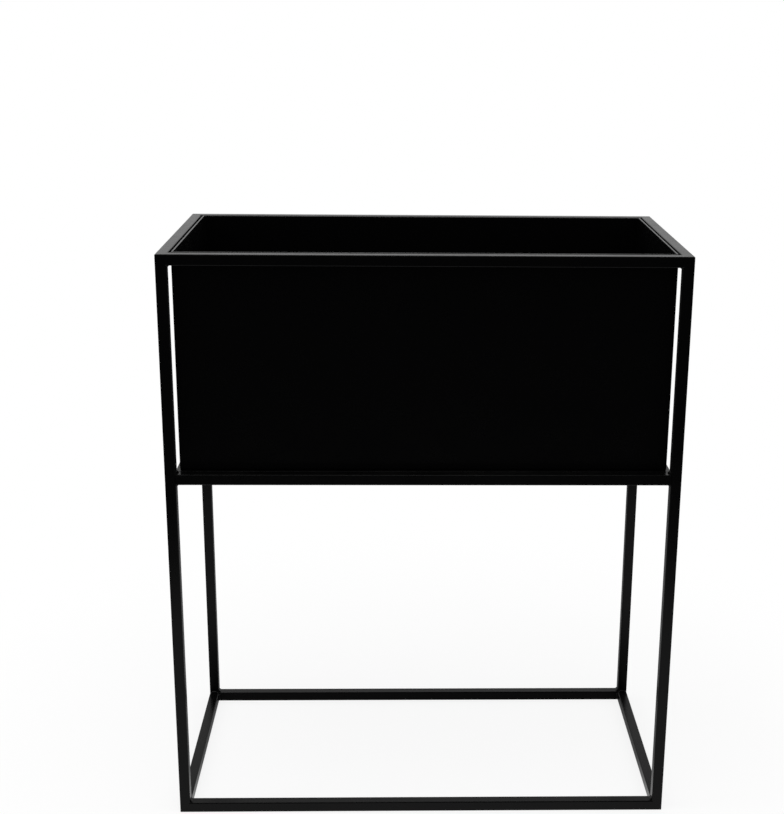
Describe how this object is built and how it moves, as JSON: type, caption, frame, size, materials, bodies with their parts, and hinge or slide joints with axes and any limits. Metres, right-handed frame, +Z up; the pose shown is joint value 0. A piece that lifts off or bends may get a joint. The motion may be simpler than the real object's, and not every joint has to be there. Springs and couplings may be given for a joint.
{
  "type": "planter box on stand",
  "caption": "Rectangular sheet-metal planter box that drops into the top of an open stand welded from slim square tube.",
  "frame": {"origin": "on the floor, under the middle of the stand", "axes": "+Z up, X along the width, -Y towards the front"},
  "size_m": [0.6, 0.3, 0.7],
  "materials": {
    "stand_coat": "satin black powder coat",
    "plate_coat": "satin black powder coat",
    "weld_coat": "satin black powder coat over weld beads",
    "box_coat": "smooth satin black powder coat",
    "box_weld_coat": "satin black powder coat over weld beads"
  },
  "bodies": {
    "stand": {"leg_front_left": "stand_coat", "leg_front_right": "stand_coat", "leg_back_left": "stand_coat", "leg_back_right": "stand_coat", "top_rail_front": "stand_coat", "top_rail_back": "stand_coat", "top_rail_left": "stand_coat", "top_rail_right": "stand_coat", "shelf_rail_front": "stand_coat", "shelf_rail_back": "stand_coat", "shelf_plate": "plate_coat", "bottom_rail_front": "stand_coat", "bottom_rail_back": "stand_coat", "bottom_rail_left": "stand_coat", "bottom_rail_right": "stand_coat", "top_ring_welds": "weld_coat", "bottom_ring_welds": "weld_coat", "shelf_rail_welds": "weld_coat", "shelf_plate_welds": "weld_coat"},
    "planter_box": {"box_wrapper": "box_coat", "box_end_left": "box_coat", "box_end_right": "box_coat", "box_seam_welds": "box_weld_coat"}
  },
  "joints": [
    {"name": "box_lift", "type": "slide", "parent": "stand", "child": "planter_box", "axis": [0, 0, 1], "range_m": [0, 0.265]}
  ]
}
